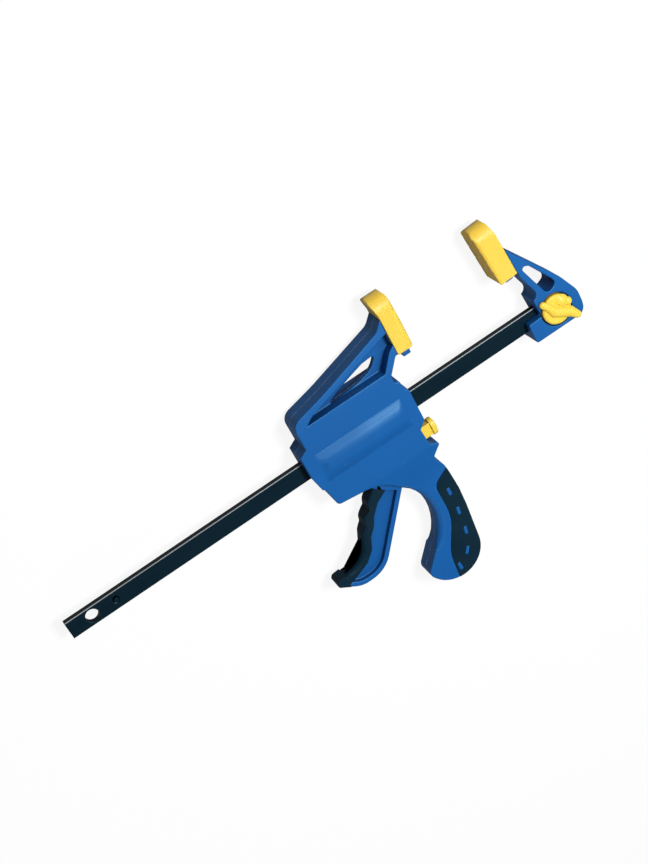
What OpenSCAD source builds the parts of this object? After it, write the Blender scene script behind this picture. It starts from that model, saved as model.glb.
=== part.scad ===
// Quick release bar clamp with a trigger drive, lying on its side.
// X runs along the bar towards the fixed jaw, Y towards the jaw tips and Z through the thickness.
// Shapes are drawn about the bar's own line: its free end is at x = 0, its centre at y = 0 and z = 0.
// Pieces of the moving jaw are drawn from the left end of its housing, which stands at jaw_at.

/* [Bar] */
// Length of the flat steel bar
bar_len = 563.5; // [480:0.5:760]
// Width of the bar
bar_w = 19; // [18:0.5:20]
// Thickness of the bar
bar_t = 6.4; // [5:0.1:7]
// Radius along the four long edges of the bar
bar_edge_r = 0.8; // [0.3:0.1:1.5]
// Diameter of the hole at each end of the bar
end_hole_d = 13.5; // [10:0.1:14]
// Distance of that hole from the end of the bar
end_hole_at = 25; // [20:0.5:26]
// Distance of the stop pin from the free end of the bar
stop_at = 50.5; // [45:0.5:70]
// Diameter of the stop pin
stop_pin_d = 5; // [4:0.5:6]
// Height of the stop pin above each face of the bar
stop_proud = 1.2; // [0.8:0.1:1.5]
// Width of the countersunk ring round the stop pin
stop_ring = 1.7; // [1:0.1:2]
// Room between the bar and the slots it runs in, on each side
bar_clear = 0.15; // [0.1:0.05:0.2]

/* [Fixed jaw] */
// Thickness of the fixed jaw
jaw_t = 26; // [24:0.5:28]
// Jaw in front of the lock knob's centre
jaw_nose = 31; // [30:0.5:32]
// Jaw behind the lock knob's centre
jaw_tail = 26.5; // [26:0.5:28]
// Half height of the block round the bar
jaw_block = 19.6; // [19:0.1:21]
// Lean of the fixed pad towards the moving jaw, in degrees
toe_in = 4; // [2:0.5:5]

/* [Lock knob] */
// Diameter of the knob's disc
knob_d = 30; // [28:0.5:31]
// Reach of the thumb wing from the knob's centre
wing_reach = 26.5; // [25:0.5:28]
// Reach of the small ear on the other side
ear_reach = 20.4; // [19:0.2:21]
// Height of the wing above the jaw's face
wing_h = 5.6; // [4.6:0.1:6.4]
// Width of the wing near its tip
wing_w = 7.4; // [6:0.2:8]
// Angle of the wing when it is locked
wing_angle = -43; // [-46:1:-38]
// Depth of the round recess that holds the disc
recess_h = 5; // [4:0.5:6]
// Gap round the disc in its recess
recess_gap = 1.5; // [1:0.1:1.6]

/* [Pads] */
// Height of each pad
pad_h = 61.5; // [58:0.5:63]
// Depth of the moving pad, from its back to the clamping face
moving_pad_depth = 17.4; // [17:0.1:18.5]
// Depth of the fixed pad, from its back to the clamping face
fixed_pad_depth = 20.2; // [19:0.1:21]
// Lean of the moving pad's upper end towards the other pad
moving_pad_lean = -2.6; // [-3:0.1:-0.5]
// Lean of the fixed pad's upper end towards the other pad
fixed_pad_lean = 2; // [0.5:0.1:2.5]
// Height at which the fixed pad stands above the moving one
fixed_pad_lift = 2.2; // [0:0.1:3]
// Width of each pad across the jaw
pad_w = 28.5; // [27.5:0.5:30]
// Height of the pads' lower edge above the bar's centre
pad_foot = 52.5; // [50:0.5:54]
// Radius of a pad's upper corners, seen along the bar
pad_crown_r = 14.2; // [8:0.1:14.2]
// Rubber behind the jaw plate
pad_back = 4.6; // [4:0.1:5.5]
// Thickness of the jaw plate inside a pad
plate_t = 8; // [7:0.5:9]
// Width of the jaw plate inside a pad
plate_w = 20; // [18:0.5:21]
// Height of the jaw plate that shows below the moving pad
moving_plate_drop = 6; // [4:0.5:7]
// Height of the jaw plate that shows below the fixed pad
fixed_plate_drop = 2.7; // [1:0.1:4]
// Radius of the pads' long edges on the clamping side
pad_edge_r = 5.5; // [3:0.5:6]
// Radius of the pads' long edges at the back
pad_back_r = 2; // [1:0.5:3]
// Number of grooves across the clamping face
groove_n = 5; // [3:1:6]
// Distance from one groove to the next, along the jaw
groove_pitch = 13.4; // [12:0.1:14]
// Depth of a groove
groove_depth = 1.3; // [0.8:0.1:1.8]
// Room between a pad and the plate in it
pad_clear = 0.15; // [0.1:0.05:0.25]

/* [Housing] */
// Rest position of the moving jaw: left end of its housing
jaw_at = 258.5; // [120:0.5:290]
// Length of the housing along the bar
house_len = 119; // [118:0.5:120]
// Thickness of the housing over both halves
house_t = 30; // [29:0.5:31]
// Height of the housing's shoulder above the bar's centre
shoulder_y = 42; // [40:0.5:44]
// Height of the raised barrel above the housing's face
bulge_h = 4.5; // [3.5:0.5:5]
// Width of the raised barrel
bulge_w = 31; // [30:0.5:33]
// Width of the flat on top of the barrel
bulge_flat = 9; // [7:0.5:11]
// Length of each sloped end of the barrel
bulge_hip = 7.5; // [6:0.5:9]

/* [Arm] */
// Thickness of the arm at the pad
arm_tip_t = 26; // [25:0.5:27]
// Width of the arm's outer rim
rim_w = 6.5; // [6:0.5:7]
// Thickness of the web between the rims
web_t = 6; // [5:0.5:7]

/* [Handle] */
// Thickness of the handle
handle_t = 24; // [23:0.5:25]
// Depth of the soft grip let into each side of the handle
grip_side = 2.2; // [1.8:0.1:2.6]
// Depth of the soft grip round the back of the handle
grip_back = 3; // [2.5:0.5:3.5]
// Radius along the finger side of the handle
handle_edge_r = 7; // [4:0.5:8]
// Depth at which the housing shows in the slots of the soft grip
dash_sink = 0.4; // [0.2:0.1:0.8]
// Length of a slot in the soft grip
dash_len = 9.5; // [8:0.5:10]
// Width of a slot in the soft grip
dash_w = 4.2; // [3.5:0.1:4.5]

/* [Trigger] */
// Thickness of the trigger
trigger_t = 18; // [16:0.5:18.5]
// Thickness of the trigger's web
trigger_web = 7; // [6:0.5:8]
// Width of the rim along the back of the trigger
trigger_rim = 5; // [4:0.5:6]
// Diameter of the trigger's pivot pin
pivot_d = 6; // [5:0.5:7]
// Depth of the soft grip on the front of the trigger
grip_cover = 4; // [3:0.5:5]
// Radius along the front of that grip
trigger_edge_r = 6; // [3:0.5:7]
// Radius of the nose that pushes the drive plates
nose_r = 3; // [2.5:0.1:3.2]

/* [Drive and brake] */
// Thickness of one drive plate
drive_t = 3; // [2.5:0.1:3.1]
// Half width of the drive and brake plates
lever_half_w = 10.5; // [9.5:0.5:10.5]
// Height of the drive plates above the bar's centre
drive_top = 14.5; // [13:0.5:15]
// Depth of the drive plates below the bar's centre
drive_foot = 24; // [22:0.5:25]
// Gap between the trigger's nose and the drive plates
nose_gap = 0.3; // [0.2:0.05:0.4]
// Thickness of the brake plate
brake_t = 3.2; // [2.8:0.1:3.4]
// Slant of the brake plate when it holds the bar, in degrees
brake_tilt = 4; // [3:0.5:4]
// Free play between the bar and the slots in the plates, on each side
slot_play = 0.4; // [0.35:0.05:0.5]
// Diameter of the spring wire
wire_d = 1.8; // [1.5:0.1:2]
// Inside diameter of the springs round the bar
coil_id = 22; // [21.2:0.1:22.2]
// Number of turns of the drive spring
drive_turns = 7; // [5:1:8]
// Number of turns of the brake spring
brake_turns = 4; // [3:1:4]

/* [Release button] */
// Height of the button's cap
button_h = 18; // [16:0.5:19]
// Width of the button's cap
button_w = 13; // [11:0.5:14]
// Thickness of the button's cap
button_t = 6; // [5:0.5:7]
// Height of the button's stem
stem_h = 13.2; // [12:0.2:13.4]
// Width of the button's stem
stem_w = 9; // [8:0.5:10]

/* [Fasteners] */
// Diameter of the housing screws
screw_d = 3; // [2.5:0.1:3.4]
// Diameter of the housing screws' heads
screw_head_d = 6; // [5.5:0.1:6.4]
// Height of the housing screws' heads
screw_head_h = 2.2; // [1.8:0.1:2.4]
// Diameter of the knob's screw
knob_screw_d = 4; // [3.5:0.1:4.5]
// Diameter of the washer under the knob's screw
washer_d = 16.5; // [15:0.5:17]

/* [Hidden] */
$fn = 64;
// Largest turn between two points of a rounded corner
arc_step = 9;
// Cutters run this far past the face they cut
over = 1;
// Gap between pieces that touch without being fastened
seat = 0.3;
// Running clearance of a pin in its hole
pin_clear = 0.05;

// Overall frame: the middle of the clamp's box, with the back of the barrel on the bench
total_len = bar_len - end_hole_at + jaw_tail;
handle_foot = 191.2;
handle_root = 60;
// Height at a share of the handle's length below its root
function down(share) = -handle_root - share * (handle_foot - handle_root);
tip_y = pad_foot + pad_h;
plate_top = tip_y - 9;
pad_top_r = 3.5;
// Height of the necks that join the plates to their jaws
moving_neck_h = 34;
fixed_neck_h = 29.5;
// The highest point of the fixed pad, on the round corner at the back of its top
top_x = 1.3 * fixed_pad_lean + fillet_run([0, -0.28 * pad_h], [1.3 * fixed_pad_lean, 0, pad_top_r], [pad_w, 0]);
top_y = pad_foot + pad_top_r + (pad_h + fixed_pad_lift - pad_top_r) * cos(toe_in) - top_x * sin(toe_in);
half_house = house_t / 2;
mid_z = half_house + bulge_h;
knob_x = bar_len - end_hole_at;

// Housing
half_handle = handle_t / 2;
taper_top = -46;
taper_end = -76;
collar_w = 8.4;
arm_x = house_len - 9;
wall = 2.5;
slot_half_y = bar_w / 2 + bar_clear;
slot_half_z = bar_t / 2 + bar_clear;
coil_r = (coil_id + wire_d) / 2;
chamber_r = coil_r + wire_d / 2 + 0.8;
mech_half_z = lever_half_w + 1;
well_half_z = trigger_t / 2 + 0.6;
pad_x = house_len + 6.8;
plate_x = pad_x + pad_back;
bulge_x0 = 12;
bulge_x1 = house_len - 11.5;

// Mechanism, from left to right
spring_x0 = 7.5;
plates_x = 41;
nose_x = plates_x + 3 * drive_t + nose_gap + nose_r;
nose_y = -16.5;
pivot = [64, -33];
rib_x = house_len - 37;
brake_spring_x = rib_x + 3.5;
notch_x = house_len - 10;
fulcrum = [house_len - 15.4, 16];
brake_room_x = notch_x - 11;
brake_len = 57.5;
brake_above = 1.5;
button_y = -36.5;
stem_x = fulcrum[0] + brake_len * sin(brake_tilt) + seat;
cap_x = house_len + 4;

// Screws of the housing, each at the middle of its boss
screws = [[20, 31], [house_len - 24, 31], [21, -33], [house_len - 20, -56], [house_len - 52, down(0.854)]];
boss_r = 4.5;
head_sink = 3.4;
function side_half(s) = s[1] < taper_end ? half_handle : half_house;

// Knob
knob_r = knob_d / 2;
recess_floor = jaw_t / 2 - recess_h;
shaft_r = end_hole_d / 2 - 0.08;
washer_sink = 3;
washer_top = washer_sink - 0.2;
washer_t = 1.2;

// ---------- Shapes ----------

function unit(v) = v / norm(v);
function cross2(a, b) = a[0] * b[1] - a[1] * b[0];

// Points of the arc that rounds corner b between its neighbours a and c
function corner_arc(a, b, c, r) =
    let (
        u = unit(a - b),
        v = unit(c - b),
        half = acos(max(-1, min(1, u * v))) / 2,
        centre = b + unit(u + v) * r / sin(half),
        start = b + u * r / tan(half) - centre,
        from = atan2(start[1], start[0]),
        turn = (180 - 2 * half) * sign(cross2(b - a, c - b)),
        steps = max(2, ceil(abs(turn) / arc_step))
    )
    [for (i = [0:steps]) centre + r * [cos(from + turn * i / steps), sin(from + turn * i / steps)]];

function flat(p) = [p[0], p[1]];

// Length of side that the fillet of corner b takes up
function fillet_run(a, b, c) =
    b[2] / tan(acos(max(-1, min(1, unit(flat(a - b)) * unit(flat(c - b))))) / 2);

// Outline through corners [x, y, radius]; two fillets that meet on a short side share it
function rounded(corners) =
    let (
        n = len(corners),
        at = function(i) corners[(i + n) % n],
        run = function(i) fillet_run(at(i - 1), at(i), at(i + 1)),
        share = function(i) norm(flat(at(i + 1) - at(i))) / max(run(i) + run(i + 1), 0.001)
    )
    [
        for (i = [0:n - 1])
            let (r = at(i)[2] * min(1, share(i - 1), share(i)))
            each (r == 0 ? [flat(at(i))] : corner_arc(flat(at(i - 1)), flat(at(i)), flat(at(i + 1)), r))
    ];

module outline(corners) {
    polygon(rounded(corners));
}

// Rectangle about the origin with true round corners
module round_rect(w, h, r) {
    square([w - 2 * r, h], center = true);
    square([w, h - 2 * r], center = true);
    for (x = [-1, 1], y = [-1, 1]) {
        translate([x * (w / 2 - r), y * (h / 2 - r)]) circle(r);
    }
}

// Drawn in y and z, run along x from x0 to x1
module along_x(x0, x1) {
    translate([x0, 0, 0]) rotate([90, 0, 90]) linear_extrude(x1 - x0) children();
}

// Drawn in x and z, run along y from y0 to y1
module along_y(y0, y1) {
    translate([0, y1, 0]) rotate([90, 0, 0]) linear_extrude(y1 - y0) children();
}

// Box given by its two end corners
module block(low, high) {
    translate(low) cube(high - low);
}

// Layer of an outline between two heights
module layer(z0, z1) {
    translate([0, 0, z0]) linear_extrude(z1 - z0) children();
}

// Cutter that rounds the edge of a face along a path of points [x, y], with the solid to the path's
// left. The face stands at z = face(y), and the radius is r times the fade of each point.
module edge_round(path, r, fade, face) {
    steps = 6;
    bite = 7;
    section = concat(
        [for (j = [0:steps]) let (a = bite + (90 - 2 * bite) * j / steps) r * [sin(a) - 1, cos(a) - 1]],
        [r * [1, cos(90 - bite) - 1], r * [1, 0.6], r * [sin(bite) - 1, 0.6]]
    );
    n = len(section);
    last = len(path) - 1;
    points = [
        for (i = [0:last])
            let (
                way = unit(path[min(i + 1, last)] - path[max(i - 1, 0)]),
                out = [way[1], -way[0]],
                scale = fade(i / last)
            )
            for (p = section)
                let (q = path[i] + out * p[0] * scale)
                [q[0], q[1], face(q[1]) + p[1] * scale]
    ];
    walls = [
        for (i = [0:last - 1], j = [0:n - 1])
            let (k = (j + 1) % n)
            each [
                [i * n + j, i * n + k, (i + 1) * n + k],
                [i * n + j, (i + 1) * n + k, (i + 1) * n + j]
            ]
    ];
    first = [for (j = [0:n - 1]) n - 1 - j];
    end = [for (j = [0:n - 1]) last * n + j];
    polyhedron(points, concat([first], walls, [end]), convexity = 6);
}

// From the bar's own line to the frame of the whole clamp
module place() {
    translate([-total_len / 2, (handle_foot - top_y) / 2, mid_z]) children();
}

module place_moving() {
    place() translate([jaw_at, 0, 0]) children();
}

module place_knob() {
    place() translate([knob_x, 0, 0]) children();
}

// Wire coiled round the bar from x0 to x1, its end turns closed up against the seats
module coil(x0, x1, turns) {
    sides = 8;
    per_turn = 20;
    rings = turns * per_turn;
    r = wire_d / 2;
    lead = wire_d * 1.05;
    run = x1 - x0 - wire_d;
    function along(t) =
        t < 1 ? lead * t
        : t > turns - 1 ? run - lead * (turns - t)
        : lead + (run - 2 * lead) * (t - 1) / (turns - 2);
    points = [
        for (i = [0:rings], j = [0:sides - 1])
            let (
                t = i / per_turn,
                ring = coil_r + r * cos(360 * j / sides)
            )
            [x0 + r + along(t) + r * sin(360 * j / sides), ring * cos(360 * t), ring * sin(360 * t)]
    ];
    walls = [
        for (i = [0:rings - 1], j = [0:sides - 1])
            let (k = (j + 1) % sides)
            [i * sides + j, i * sides + k, (i + 1) * sides + k, (i + 1) * sides + j]
    ];
    first = [for (j = [0:sides - 1]) sides - 1 - j];
    last = [for (j = [0:sides - 1]) rings * sides + j];
    polyhedron(points, concat([first], walls, [last]), convexity = 10);
}

// ---------- Bar ----------

module bar() {
    color([0.09, 0.12, 0.15]) place() difference() {
        along_x(0, bar_len) round_rect(bar_w, bar_t, bar_edge_r);
        for (x = [end_hole_at, bar_len - end_hole_at]) {
            translate([x, 0, -bar_t]) cylinder(h = 2 * bar_t, d = end_hole_d);
        }
        translate([stop_at, 0, -bar_t]) cylinder(h = 2 * bar_t, d = stop_pin_d);
        for (side = [0, 1]) mirror([0, 0, side]) {
            translate([stop_at, 0, bar_t / 2 - stop_ring]) {
                cylinder(h = stop_ring, d1 = stop_pin_d, d2 = stop_pin_d + 2 * stop_ring);
            }
        }
    }
}

module stop_pin() {
    chamfer = 0.6;
    half = bar_t / 2 + stop_proud;
    color([0.05, 0.05, 0.06]) place() translate([stop_at, 0, 0]) rotate_extrude() polygon([
        [0, -half],
        [stop_pin_d / 2 - chamfer, -half],
        [stop_pin_d / 2, chamfer - half],
        [stop_pin_d / 2, half - chamfer],
        [stop_pin_d / 2 - chamfer, half],
        [0, half]
    ]);
}

// ---------- Pads ----------

// Side view of a pad: its back stands at x = 0, it clamps towards +x and its upper end leans over
module pad_profile(depth, lean) {
    outline([
        [0, pad_foot, 2.5],
        [depth - 0.8, pad_foot, 3.5],
        [depth, pad_foot + pad_h * 0.35, 70],
        [depth + 0.7 * lean, tip_y, 6],
        [1.3 * lean, tip_y, pad_top_r],
        [0, pad_foot + pad_h * 0.72, 12]
    ]);
}

// The same pad seen along the bar, y to the right
module pad_front() {
    outline([
        [pad_foot, -pad_w / 2, 2.5],
        [tip_y, -pad_w / 2, pad_crown_r],
        [tip_y, pad_w / 2, pad_crown_r],
        [pad_foot, pad_w / 2, 2.5]
    ]);
}

// The plate of a jaw that a pad slides over, and the neck that joins it to the jaw
module pad_core(drop, neck_h, room) {
    along_y(pad_foot - drop, plate_top + room) {
        translate([pad_back + plate_t / 2, 0]) {
            square([plate_t + 2 * room, plate_w + 2 * room], center = true);
        }
    }
    neck_half = plate_w / 2 - 1 + room;
    block([-over, pad_foot - over, -neck_half], [pad_back + over, pad_foot + neck_h + room, neck_half]);
}

module pad(depth, lean) {
    back = min(0, 1.3 * lean);
    front = depth + max(0, 0.7 * lean);
    intersection() {
        layer(-pad_w / 2, pad_w / 2) pad_profile(depth, lean);
        along_x(back - over, front + over) pad_front();
        along_y(pad_foot - over, tip_y + over) outline([
            [back, -pad_w / 2, pad_back_r],
            [front, -pad_w / 2, pad_edge_r],
            [front, pad_w / 2, pad_edge_r],
            [back, pad_w / 2, pad_back_r]
        ]);
    }
}

// The slanted grooves across a pad's clamping face
module pad_grooves(depth, lean) {
    for (i = [0:groove_n - 1]) {
        up = 2 + i * groove_pitch;
        face_x = depth + 0.7 * lean * max(0, (up / pad_h - 0.35) / 0.65);
        translate([face_x, pad_foot + up, 0]) rotate([-45, 0, 0]) {
            along_y(-pad_w, pad_w) rotate(45) square(groove_depth * sqrt(2), center = true);
        }
    }
}

// ---------- Fixed jaw ----------

// Where the fixed pad's back lower corner stands from the lock knob's centre
pad_seat = [-19.4, pad_foot];

module at_fixed_pad() {
    translate([pad_seat[0], pad_seat[1], 0]) rotate(toe_in) translate([0, fixed_pad_lift - pad_foot, 0]) {
        mirror([1, 0, 0]) children();
    }
}

module jaw_outline() {
    outline([
        [-jaw_nose, -jaw_block, 2.5],
        [jaw_tail - 1.9, -jaw_block, 9],
        [jaw_tail, -8, 20],
        [jaw_tail, 5, 20],
        [16, 27.5, 45],
        [-21.8, 84.5, 1],
        [-26, 84.5, 0],
        [-21.3, 56, 0],
        [-18.5, 48, 6],
        [-9, 21, 7],
        [-jaw_nose, jaw_block + 0.4, 1]
    ]);
}

module jaw_window() {
    outline([
        [-15.6, 58.6, 2.6],
        [-7, 55, 3],
        [11.5, 24.5, 5],
        [-1.5, 18.5, 5]
    ]);
}

module fixed_jaw() {
    color([0.09, 0.38, 0.67]) place_knob() difference() {
        union() {
            difference() {
                layer(-jaw_t / 2, jaw_t / 2) jaw_outline();
                layer(-jaw_t, jaw_t) jaw_window();
                at_fixed_pad() block([0, 0, -jaw_t], [fixed_pad_depth, tip_y, jaw_t]);
            }
            at_fixed_pad() pad_core(fixed_plate_drop, fixed_neck_h, 0);
        }
        along_x(-jaw_nose - over, jaw_tail + over) {
            square([2 * slot_half_y, 2 * slot_half_z], center = true);
        }
        translate([0, 0, -jaw_t]) cylinder(h = 2 * jaw_t, d = end_hole_d);
        translate([0, 0, recess_floor]) cylinder(h = jaw_t, r = knob_r + recess_gap);
        translate([0, 0, -jaw_t]) cylinder(h = jaw_t / 2 + washer_sink, d = washer_d + 1);
    }
}

module fixed_pad() {
    color([0.98, 0.83, 0.27]) place_knob() at_fixed_pad() difference() {
        pad(fixed_pad_depth, fixed_pad_lean);
        pad_core(fixed_plate_drop, fixed_neck_h, pad_clear);
        pad_grooves(fixed_pad_depth, fixed_pad_lean);
    }
}

// ---------- Lock knob ----------

// Rounded lump with its top at height h over the jaw's face
module lump(x, y, r, h) {
    translate([x, y, jaw_t / 2 + h]) scale([1, 1, 0.8]) translate([0, 0, -r]) sphere(r, $fn = 28);
}

// Thumb wing: a ridge in a flat S from the ear over the disc to the tip, drawn along x
module wing() {
    ridge = [
        [3.6 - ear_reach, 1.2, 3.6, wing_h - 1.2],
        [-10.5, 0.4, 4.2, wing_h - 0.6],
        [-2.5, -3, 4.8, wing_h],
        [5, -1.4, 5.4, wing_h],
        [wing_reach - 12, 0.6, wing_w * 0.74, wing_h - 0.4],
        [wing_reach - wing_w / 2, -0.8, wing_w / 2, wing_h - 0.8]
    ];
    for (i = [0:len(ridge) - 2]) hull() {
        for (k = [i, i + 1]) lump(ridge[k][0], ridge[k][1], ridge[k][2], ridge[k][3]);
    }
}

module lock_knob() {
    shaft_end = washer_top - jaw_t / 2;
    floor_z = recess_floor + seat;
    face = jaw_t / 2;
    color([0.98, 0.83, 0.27]) place_knob() difference() {
        union() {
            translate([0, 0, floor_z]) cylinder(h = face + 0.6 - floor_z, r = knob_r);
            translate([0, 0, face + 0.6]) cylinder(h = 1.4, r1 = knob_r, r2 = knob_r - 1.6);
            intersection() {
                rotate(wing_angle) union() {
                    wing();
                    lump(2, 8.6, 8, 4);
                    lump(8.6, 9.6, 4.6, 3.6);
                }
                layer(face + seat, face + wing_h) circle(wing_reach + over);
            }
            translate([0, 0, shaft_end]) cylinder(h = floor_z - shaft_end, r = shaft_r);
        }
        translate([0, 0, -jaw_t / 2]) cylinder(h = 16, d = knob_screw_d + 2 * pin_clear);
    }
}

module knob_washer() {
    color([0.75, 0.76, 0.78]) place_knob() translate([0, 0, washer_top - washer_t - jaw_t / 2]) {
        difference() {
            cylinder(h = washer_t, d = washer_d);
            translate([0, 0, -over]) cylinder(h = washer_t + 2 * over, d = knob_screw_d + 0.4);
        }
    }
}

// Pan head screw: its head reaches from z = -head_h to 0 and its shank up to z = length
module pan_screw(d, head_d, head_h, length) {
    cross_w = head_d * 0.16;
    difference() {
        union() {
            rotate_extrude() intersection() {
                translate([0, -head_h]) square([head_d / 2, head_h]);
                translate([0, head_d * 0.45 - head_h]) circle(head_d * 0.56);
            }
            cylinder(h = length - d / 2, d = d);
            translate([0, 0, length - d / 2]) cylinder(h = d / 2, d1 = d, d2 = d * 0.3);
        }
        for (a = [0, 90]) rotate(a) {
            translate([0, 0, -head_h]) cube([head_d * 0.6, cross_w, head_h * 1.1], center = true);
        }
    }
}

module knob_screw() {
    color([0.75, 0.76, 0.78]) place_knob() translate([0, 0, washer_top - washer_t - jaw_t / 2]) {
        pan_screw(knob_screw_d, 2 * knob_screw_d, 0.6 * knob_screw_d - 0.4, 13);
    }
}

// ---------- Moving jaw housing ----------

// Corners of the handle's finger side: the housing's lower edge, the hollow and the heel
handle_top = [house_len - 67.3, -48.2, 42];
handle_hollow = [house_len - 12.5, down(0.3476), 57];
handle_heel = [house_len - 67.7, down(0.8338), 8];

// Box round the bar, with its collars, the button's notch and the handle below
module body_outline() {
    right = house_len;
    outline([
        [collar_w, shoulder_y + 3, 0],
        [collar_w, 25.3, 0.6],
        [0, 20.7, 1],
        [0, -4, 8],
        [3.3, -20.2, 1.5],
        [5.8, -21.4, 1.5],
        [9.1, -42.6, 4.5],
        handle_top,
        handle_hollow,
        handle_heel,
        [right - 54, -handle_foot, 30.6],
        [right - 8.8, -handle_foot, 30.6],
        [right, down(0.332), 200],
        [right - 3.2, -72, 20],
        [right - 10.2, -handle_root, 6],
        [right + 2, -49, 1.8],
        [right + 0.4, -46.6, 1],
        [notch_x + 3.2, -43.4, 2],
        [notch_x + 2, -25, 2.5],
        [right - 0.2, -18.3, 1.5],
        [right, 17.5, 2],
        [right - 3.4, 22, 2],
        [right - 4.2, 30.5, 2],
        [arm_x, 32.5, 1.5],
        [arm_x, shoulder_y + 3, 0]
    ]);
}

// The arm from the shoulder up to the pad
module arm_outline() {
    outline([
        [collar_w, shoulder_y - 12, 0],
        [collar_w, 52.8, 11],
        [46, 62, 160],
        [pad_x - 9, 84, 14],
        [pad_x + 2, 95.5, 0],
        [pad_x + 2, 57.5, 0],
        [arm_x + 12, 53.5, 8],
        [arm_x, 39, 7],
        [arm_x, shoulder_y - 12, 0]
    ]);
}

// The sunk triangle between the rims
module pocket_outline() {
    outline([
        [18, shoulder_y + 1.4, 1],
        [28, 50.2, 12],
        [48, 56, 60],
        [pad_x + 2, 79.5, 0],
        [pad_x + 2, 66.5, 0],
        [arm_x + 8.8, 60.8, 8],
        [arm_x - 6.2, shoulder_y + 0.2, 1.5]
    ]);
}

// The lens-shaped window in the web
module web_window() {
    outline([
        [47.5, 44.6, 1],
        [82, 46.4, 60],
        [pad_x - 25.8, 51.6, 20],
        [pad_x - 17.3, 62, 1.8],
        [pad_x - 31.8, 61, 16],
        [62, 51.6, 60]
    ]);
}

// Profile of the raised barrel across the bar, from the middle of the housing outwards
module bulge_profile() {
    run = (bulge_w - bulge_flat) / 2;
    drop = bulge_h;
    r = (run * run + drop * drop) / (2 * drop);
    intersection() {
        translate([-bulge_w / 2, 0]) square([bulge_w, mid_z]);
        union() {
            square([bulge_flat, 2 * mid_z], center = true);
            for (side = [-1, 1]) {
                translate([side * bulge_flat / 2, mid_z - r]) circle(r, $fn = 96);
            }
        }
    }
}

module bulge() {
    intersection() {
        along_x(bulge_x0, bulge_x1) bulge_profile();
        along_y(-bulge_w, bulge_w) polygon([
            [bulge_x0, 0],
            [bulge_x0, half_house],
            [bulge_x0 + bulge_hip, mid_z],
            [bulge_x1 - bulge_hip, mid_z],
            [bulge_x1, half_house],
            [bulge_x1, 0]
        ]);
    }
}

// The handle as a piece of the body outline, and the part of it under the soft grip
module grip_region() {
    intersection() {
        body_outline();
        outline([
            [house_len + 11, -70, 0],
            [house_len - 20.7, down(0.202), 12],
            [house_len - 20.2, down(0.5107), 50],
            [house_len - 39, down(0.7774), 50],
            [house_len - 42.6, -handle_foot - 9, 0],
            [house_len + 11, -handle_foot - 9, 0]
        ]);
    }
}

module grip_core() {
    intersection() {
        grip_region();
        offset(delta = -grip_back) body_outline();
    }
}

// Slots of the soft grip: distance from the housing's right end, share of the handle's length, slant
dashes = [[11.1, 0.32, 0], [11.8, 0.503, -8], [14.6, 0.682, -10], [22.6, 0.838, -34], [36.2, 0.922, 2]];

module dash_outlines() {
    for (d = dashes) {
        translate([house_len - d[0], down(d[1])]) rotate(d[2]) round_rect(dash_w, dash_len, dash_w / 3);
    }
}

// The swing room of the trigger, open at the housing's lower edge
module well_outline() {
    outline([
        [46, -14, 0],
        [46, -30, 3],
        [36, -46, 2],
        [24, -62, 0],
        [60, -95, 0],
        [81, -80, 2],
        [88, -66, 4],
        [86, -44, 4],
        [76, -22, 4],
        [60, -14, 0]
    ]);
}

// Everything that is cut from both halves: slots, chambers and wells
module hollows() {
    along_x(-over, house_len + 2 * over) square([2 * slot_half_y, 2 * slot_half_z], center = true);
    along_x(spring_x0, rib_x) circle(chamber_r);
    along_x(brake_spring_x, notch_x - 4) circle(chamber_r);
    along_x(bulge_x0 + bulge_hip, bulge_x1 - bulge_hip) difference() {
        circle(mid_z - wall - 1);
        square([2 * chamber_r, 2 * mid_z], center = true);
    }
    block([34, -drive_foot - 2, -mech_half_z], [plates_x + 3 * drive_t + 7, drive_top + 2, mech_half_z]);
    block([brake_room_x, button_y - 7.5, -mech_half_z], [fulcrum[0] + 0.2, fulcrum[1] + 3, mech_half_z]);
    block([brake_room_x, button_y - 7.5, -mech_half_z], [notch_x, fulcrum[1] - 2, mech_half_z]);
    layer(-well_half_z, well_half_z) well_outline();
    block(
        [notch_x - over, button_y - stem_h / 2 - seat, -stem_w / 2 - seat],
        [house_len, button_y + stem_h / 2 + seat, stem_w / 2 + seat]
    );
}

// Ribs and bosses that stand between the walls of the housing's body
module body_ribs() {
    translate([-10, -60]) square([10 + spring_x0, 120]);
    translate([rib_x, -20]) square([brake_spring_x - rib_x, 80]);
    translate([fulcrum[0] + 0.2, fulcrum[1] - 2]) square([30, 60]);
    translate([notch_x, -60]) square([30, 120]);
    translate([0, fulcrum[1] + 3]) square([house_len, wall]);
    for (s = screws) translate(s) circle(boss_r);
}

// Ribs and the boss inside the handle
module handle_ribs() {
    for (share = [0.29, 0.503, 0.701]) {
        translate([house_len - 80, down(share)]) square([80, wall]);
    }
    for (s = screws) translate(s) circle(boss_r);
}

// Room between the walls of one half
module cavity() {
    roof = half_house - wall;
    layer(-over, roof) difference() {
        intersection() {
            offset(delta = -wall) body_outline();
            translate([0, taper_top]) square([house_len, shoulder_y - wall - taper_top]);
        }
        body_ribs();
    }
    layer(-over, half_handle - grip_side - wall) difference() {
        intersection() {
            offset(delta = -grip_back - wall) body_outline();
            translate([0, -handle_foot]) square([house_len, handle_foot + taper_end - 4]);
        }
        handle_ribs();
    }
}

// Height of the housing's face over the parting face, drawn in towards the handle
function side_z(y) = lookup(y, [[taper_end, half_handle], [taper_top, half_house]]);

// Finger side of the handle, from the housing's lower edge to the heel
module handle_edge_round() {
    hollow = corner_arc(flat(handle_top), flat(handle_hollow), flat(handle_heel), handle_hollow[2]);
    tail = hollow[len(hollow) - 1];
    edge_round(
        concat(hollow, [tail + 4 * unit(flat(handle_heel) - tail)]),
        handle_edge_r,
        function(t) lookup(t, [[0, 0.25], [0.45, 1], [0.85, 1], [1, 0.35]]),
        function(y) side_z(y)
    );
}

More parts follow.
